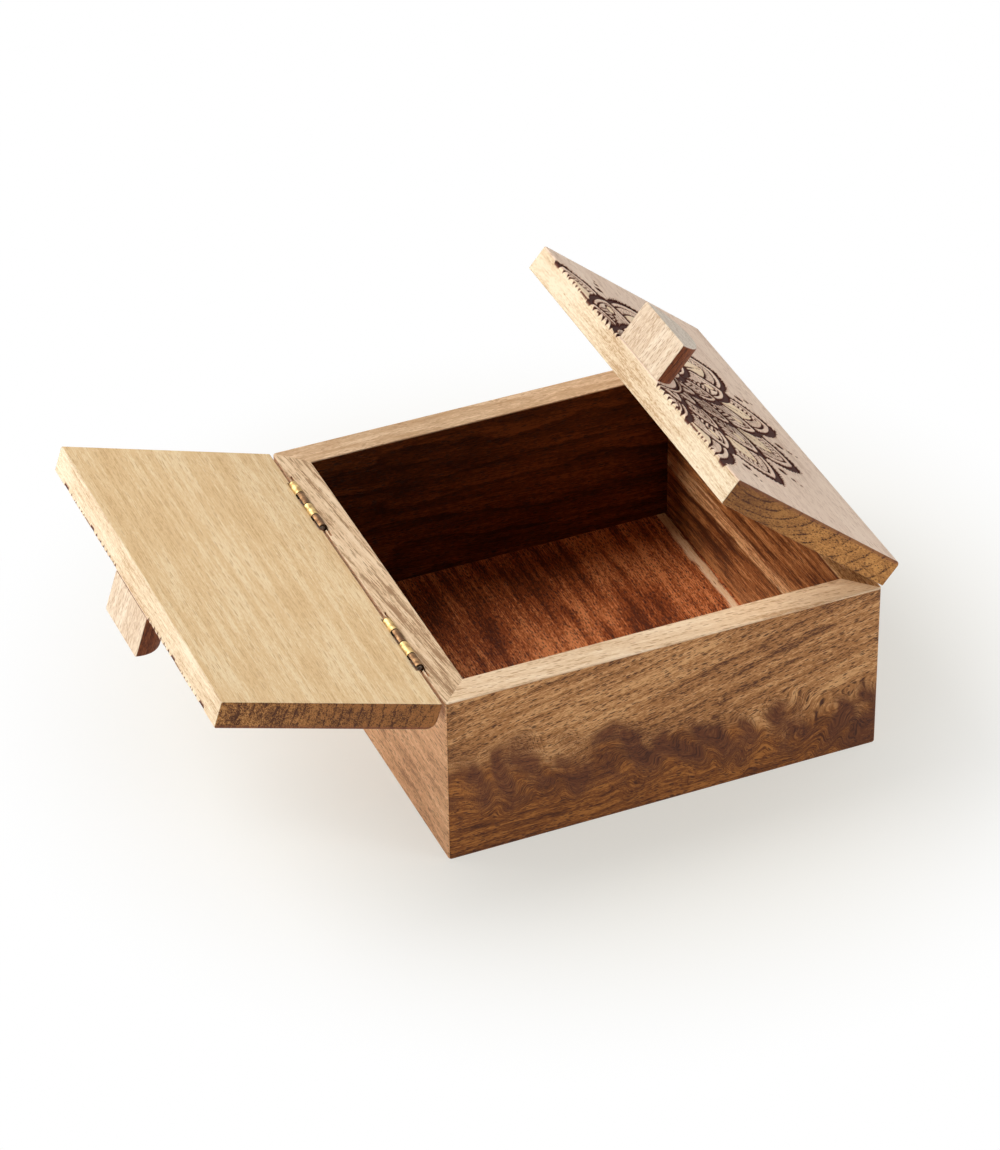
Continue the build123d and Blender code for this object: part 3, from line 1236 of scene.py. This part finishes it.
@dataclass
class Hinges:
    """Leaves, pins and brads of the four hinges, and the brads under the floor."""

    lid_leaf: Metal = Metal("pale_brass", (0.76, 0.56, 0.25), (0.36, 0.22, 0.09), 0.2, 0.46)
    # The wall leaf's brass is a darker copy of the lid leaf's: painted shade on its knuckles.
    wall_leaf: Metal = Metal("brown_brass", (0.44, 0.26, 0.13), (0.15, 0.08, 0.04), 0.3, 0.5)
    pin: Metal = Metal("pin_steel", (0.25, 0.21, 0.17), (0.07, 0.05, 0.04), 0.2, 0.45)
    brads: Metal = Metal("brad_steel", (0.42, 0.40, 0.37), (0.14, 0.11, 0.09), 0.2, 0.4)
    knuckles: int = 4

    def dress(self) -> None:
        """Gives every hinge node its metal."""
        seams = Seams.of(self.knuckles)
        metals = {
            "lid_leaf": self.lid_leaf.material(seams), "wall_leaf": self.wall_leaf.material(seams),
            "pin": self.pin.material(), "brads": self.brads.material(),
        }
        for name in frame["nodes"]:
            for ending, metal in metals.items():
                if name.endswith(ending):
                    set_material(name, metal)


# Studio


@dataclass(frozen=True)
class Lamp:
    """A soft round lamp: its place and width in metres, and its power in watts."""

    name: str
    place: Triple
    width: float
    power: float
    colour: Colour = (1.0, 1.0, 1.0)

    def build(self, target: Vector) -> None:
        """Adds the lamp, turned to its target.

        Args:
            target: The point that it is turned to.
        """
        data = bpy.data.lights.new(self.name, "AREA")
        data.shape = "DISK"
        data.size, data.energy, data.color = self.width, self.power, self.colour
        lamp = add_object(self.name, data)
        lamp.location = self.place
        lamp.rotation_euler = (target - lamp.location).to_track_quat("-Z", "Y").to_euler()


@dataclass
class Studio:
    """Camera, lamps, white surroundings and floor. Angles are in degrees, lengths in metres.

    The floor's own glow lifts the shadow by a share of lift near the box, and wholly hides it
    beyond the second glow radius. Near the box the glow is darker and warmer, a painted warm
    shadow, and it turns plain white towards the second glow radius.
    """

    azimuth: float = -22.605
    elevation: float = 35.734
    roll: float = -0.826
    distance: float = 2.06903
    lens_mm: float = 144.45
    sensor_mm: float = 36.0
    aim: Triple = (-0.02167, 0.02954, 0.04064)
    surroundings: float = 0.04
    paper: Colour = (0.97, 0.965, 0.94)
    lift: float = 0.62
    # Colour of the floor's glow near the box: a painted warm shadow.
    near_glow: Colour = (0.87, 0.85, 0.785)
    glow_radii: Pair = (0.10, 0.28)
    floor_reach: float = 30.0
    lamps: tuple[Lamp, ...] = (
        Lamp("key_lamp", (-1.22, 1.10, 1.60), 1.6, 57.0, (1.0, 0.985, 0.955)),
        Lamp("right_lamp", (1.5, -1.5, 0.9), 0.9, 20.0),
        Lamp("side_lamp", (1.8, 0.4, 1.5), 1.2, 6.0),
        Lamp("front_lamp", (0.2, -2.2, 0.35), 0.9, 4.5),
        Lamp("left_lamp", (-2.1, -0.9, 0.22), 0.6, 9.0),
    )

    def build(self) -> None:
        """Adds the whole studio."""
        self.add_camera()
        for lamp in self.lamps:
            lamp.build(Vector(self.aim))
        self.add_surroundings()
        self.add_floor()
        bpy.context.scene.view_settings.view_transform = "Standard"

    def add_camera(self) -> None:
        """Adds the camera, looking at the aim from its azimuth and elevation."""
        a, e, r = (math.radians(value) for value in (self.azimuth, self.elevation, self.roll))
        back = Vector((math.sin(a) * math.cos(e), -math.cos(a) * math.cos(e), math.sin(e)))
        level = Vector((0, 0, 1)).cross(back).normalized()
        right = level * math.cos(r) + back.cross(level) * math.sin(r)
        data = bpy.data.cameras.new("camera")
        data.lens, data.sensor_width = self.lens_mm, self.sensor_mm
        camera = add_object("camera", data)
        turn = Matrix((right, back.cross(right), back)).transposed().to_4x4()
        camera.matrix_world = Matrix.Translation(Vector(self.aim) + back * self.distance) @ turn
        bpy.context.scene.camera = camera

    def add_surroundings(self) -> None:
        """White surroundings, weaker as light than as background."""
        world = bpy.data.worlds.new("surroundings")
        bpy.context.scene.world = world
        world.use_nodes = True
        world.node_tree.nodes.clear()
        g = Graph(world.node_tree)
        strength = g.blend(self.seen(g), self.surroundings, 1.0)
        background = g.add("Background", {"Strength": strength})
        g.add("OutputWorld", {"Surface": background.outputs[0]})

    @staticmethod
    def seen(g: Graph) -> Value:
        """1 for rays from the camera, in reflections and through glass, 0 for light.

        Args:
            g: The graph of the world or of a material.

        Returns:
            The share.
        """
        rays = g.add("LightPath").outputs
        seen = g.math("MAXIMUM", rays["Is Camera Ray"], rays["Is Glossy Ray"])
        return g.math("MAXIMUM", seen, rays["Is Transmission Ray"])

    def add_floor(self) -> None:
        """Pale floor that keeps the box's shadow and turns plain white away from it."""
        g = Surface("floor_paper", {"Base Color": self.paper, "Roughness": 0.9})
        x, y, _ = g.split(g.add("TexCoord").outputs["Object"])
        far = g.step(g.math("SQRT", x * x + y * y), *self.glow_radii)
        # Near the box the glow takes the painted warm shadow's colour.
        glow = g.add("Emission", {"Color": g.mix(far, self.near_glow, (1.0, 1.0, 1.0))})
        share = g.blend(far, self.lift, 1.0) * self.seen(g)
        mixed = g.add("MixShader", {0: share, 1: g.shader.outputs[0], 2: glow.outputs[0]})
        g.feed(g.out.inputs["Surface"], mixed.outputs[0])
        corners = self.floor_reach * np.array([(-1, -1, 0), (1, -1, 0), (1, 1, 0), (-1, 1, 0)])
        floor = add_piece("studio_floor", corners, [[0, 1, 2, 3]])
        floor.data.materials.append(g.material)


# The box's own finishes

RIM = Timber(
    (0.92, 0.72, 0.5), (0.8, 0.57, 0.37), (0.52, 0.31, 0.16), (0.52, 0.31, 0.17),
    ring_width=6.0, fibre=0.45, fleck=0.35, pores=0.35, pore_length=5.0, seed=3.0,
)
RIM_BACK = replace(RIM, pale=(0.84, 0.6, 0.39), mid=(0.63, 0.41, 0.24), pores=0.7, pore_length=3.0)
RIM_FRONT = replace(RIM, pale=(0.94, 0.75, 0.54), mid=(0.82, 0.6, 0.39))
RIM_BROWN = replace(
    RIM, pale=(0.68, 0.42, 0.2), mid=(0.44, 0.24, 0.1), dark=(0.2, 0.09, 0.04), fleck=0.6,
)
RIM_STREAKED = Timber(
    (0.88, 0.67, 0.46), (0.75, 0.53, 0.33), (0.36, 0.21, 0.11), (0.42, 0.27, 0.15),
    ring_width=3.4, ring_bend=1.0, ring_strength=0.1, ring_line=0.45, fibre=0.75, fleck=0.3,
    mottle=0.35, pores=0.3, pore_length=9.0, seed=11.0,
)
GOLDEN = Timber(
    (0.93, 0.735, 0.47), (0.81, 0.57, 0.31), (0.62, 0.39, 0.18), (0.68, 0.45, 0.23),
    ring_strength=0.05, ring_line=0.0, fibre=0.42, fleck=0.3, mottle=0.35, pore_length=8.0,
)
CREAM = Timber(
    (0.89, 0.76, 0.56), (0.77, 0.59, 0.39), (0.54, 0.34, 0.18), (0.58, 0.37, 0.19),
    ring_line=0.0, mottle=0.6, pores=0.4,
)
WASHED = Timber(
    (0.95, 0.75, 0.59), (0.87, 0.66, 0.51), (0.68, 0.47, 0.34), (0.6, 0.4, 0.28),
    ring_line=0.15, fibre=0.3, fleck=0.35, mottle=0.5, pore_length=6.0,
)
DARK_END = Timber(
    (0.55, 0.27, 0.085), (0.3, 0.12, 0.032), (0.066, 0.02, 0.006), (0.11, 0.036, 0.012),
    ring_bend=3.4, ring_strength=0.1, ring_line=0.55, fibre=0.7, fleck=0.8, mottle=0.5, pores=0.9,
)
DARK_END_TIGHT = replace(DARK_END, ring_width=6.6, pale=(0.36, 0.14, 0.04))
OLIVE_END = Timber(
    (0.29, 0.12, 0.032), (0.175, 0.064, 0.016), (0.065, 0.02, 0.006), (0.09, 0.03, 0.009),
    ring_width=3.1, ring_bend=0.7, ring_strength=0.1, ring_line=0.8, fibre=0.4, mottle=0.5, pores=0.7,
)
OLIVE_END_PALE = replace(OLIVE_END, pale=(0.6, 0.285, 0.08), mid=(0.42, 0.18, 0.048), ring_line=0.4)
BROWN = Timber(
    (0.66, 0.36, 0.155), (0.39, 0.17, 0.057), (0.1, 0.033, 0.012), (0.05, 0.015, 0.006),
    ring_width=7.0, ring_bend=3.5, ring_line=0.15, fibre=0.42, mottle=0.45, pores=1.0, pore_length=3.6,
)
BROWN_LOW = Timber(
    (0.42, 0.16, 0.036), (0.2, 0.063, 0.014), (0.066, 0.017, 0.004), (0.055, 0.014, 0.004),
    ring_width=3.0, ring_bend=2.0, ring_line=0.25, fibre=0.6, fleck=0.4, pores=0.8, pore_length=3.4,
)
CROTCH = Timber(
    (0.22, 0.078, 0.026), (0.125, 0.038, 0.013), (0.052, 0.014, 0.006), (0.045, 0.012, 0.005),
    ring_width=4.0, ring_strength=0.2, fibre=0.3, fleck=0.6, pore_length=1.8,
)
PINKISH = Timber(
    (0.97, 0.62, 0.35), (0.77, 0.42, 0.21), (0.41, 0.18, 0.08), (0.31, 0.13, 0.052),
    ring_width=7.0, ring_strength=0.2, ring_line=0.15, fibre=0.45, fleck=0.35, pores=0.7,
    pore_length=5.0,
)
INNER_DARK = Timber(
    (0.24, 0.072, 0.017), (0.115, 0.03, 0.006), (0.038, 0.009, 0.003), (0.028, 0.008, 0.003),
    ring_bend=5.0, ring_strength=0.3, fibre=0.4, mottle=0.6,
)
INNER_STRIPED = Timber(
    (0.66, 0.29, 0.105), (0.36, 0.12, 0.034), (0.09, 0.024, 0.008), (0.07, 0.02, 0.007),
    ring_width=8.0, ring_line=0.35, fibre=0.7, fleck=0.35, mottle=0.7, pore_length=6.0,
)
# A pale streak of the wood, painted brighter still: painted light on the right wall's inner face.
INNER_STREAK_AND_LIGHT = Timber(
    (1.0, 0.74, 0.44), (0.92, 0.5, 0.22), (0.4, 0.15, 0.055), (0.3, 0.1, 0.035),
    ring_width=8.0, ring_line=0.3, fibre=0.6, fleck=0.3, mottle=0.5, pore_length=6.0,
)
RED_BROWN = Timber(
    (0.8, 0.29, 0.106), (0.4, 0.098, 0.028), (0.11, 0.023, 0.007), (0.04, 0.009, 0.004),
    ring_width=16.0, ring_bend=6.0, ring_strength=0.2, ring_line=0.0, fibre=0.55, fleck=0.6, mottle=0.7,
    pores=1.0, pore_length=3.0,
)
SAPWOOD = Timber(
    (0.97, 0.74, 0.5), (0.92, 0.6, 0.34), (0.66, 0.34, 0.15), (0.5, 0.25, 0.11),
    ring_width=16.0, ring_strength=0.1, ring_line=0.0, fleck=0.4, pores=0.4,
)
KNOB_SAWN = Timber(
    (0.87, 0.74, 0.59), (0.77, 0.61, 0.45), (0.6, 0.42, 0.28), (0.5, 0.32, 0.2),
    ring_width=7.0, ring_strength=0.2, pores=0.7,
)
KNOB_CURVE = Timber(
    (0.34, 0.11, 0.037), (0.2, 0.052, 0.017), (0.059, 0.014, 0.005), (0.054, 0.014, 0.005),
    ring_width=4.0, ring_strength=0.2, fibre=0.4, pores=0.8, pore_length=3.0,
)
KNOB_TOP = Timber(
    (0.86, 0.76, 0.66), (0.76, 0.65, 0.54), (0.58, 0.46, 0.36), (0.5, 0.38, 0.28),
    ring_width=5.0, ring_strength=0.2, ring_line=0.25, fibre=0.3, fleck=0.4,
)

WALLS = {
    "front_wall": WallLooks(BROWN, RIM_FRONT, INNER_DARK, Run.ALONG_X, rim_turn=4.0, crotch=True),
    "back_wall": WallLooks(BROWN, RIM_BACK, INNER_DARK, Run.ALONG_X, tilt=-3.0),
    "left_wall": WallLooks(PINKISH, RIM_STREAKED, INNER_DARK, Run.ALONG_Y, rim_turn=-5.0),
    "right_wall": WallLooks(
        BROWN, RIM_BROWN, INNER_STRIPED, Run.ALONG_Y, tilt=-3.0, streak=INNER_STREAK_AND_LIGHT, streak_height=41.5,
    ),
}
LEAF_LOOKS = {
    Side.LEFT: LeafLooks(WASHED, GOLDEN, CREAM, DARK_END, DARK_END_TIGHT, (-210.0, 0.0, -4.0)),
    Side.RIGHT: LeafLooks(
        WASHED, GOLDEN, CREAM, OLIVE_END, OLIVE_END_PALE, (-91.0, 0.0, -15.0), end_scale=0.42,
    ),
}


def main() -> None:
    """Dresses the box and sets up the studio."""
    logging.basicConfig(level=logging.INFO, format="%(name)s: %(message)s")
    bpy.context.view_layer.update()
    Carcass(WALLS, RED_BROWN, SAPWOOD, CROTCH, BROWN_LOW).dress()
    log.info("dressed the walls and the floor")
    for side in Side:
        leaf = LeafFrame.of(side)
        knob = node_points(f"{side.label}_knob_half")
        board = LidLeaf(leaf, Rosette(float(np.ptp(knob[:, 1])) / 2), LEAF_LOOKS[side]).build()
        log.info("built %s with %d faces", board.name, len(board.data.polygons))
        KnobLooks(KNOB_SAWN, KNOB_CURVE, KNOB_TOP).dress(leaf)
        log.info("dressed the %s knob half", side.label)
    Hinges().dress()
    log.info("dressed the hinges")
    Studio().build()


if __name__ == "__main__":
    main()
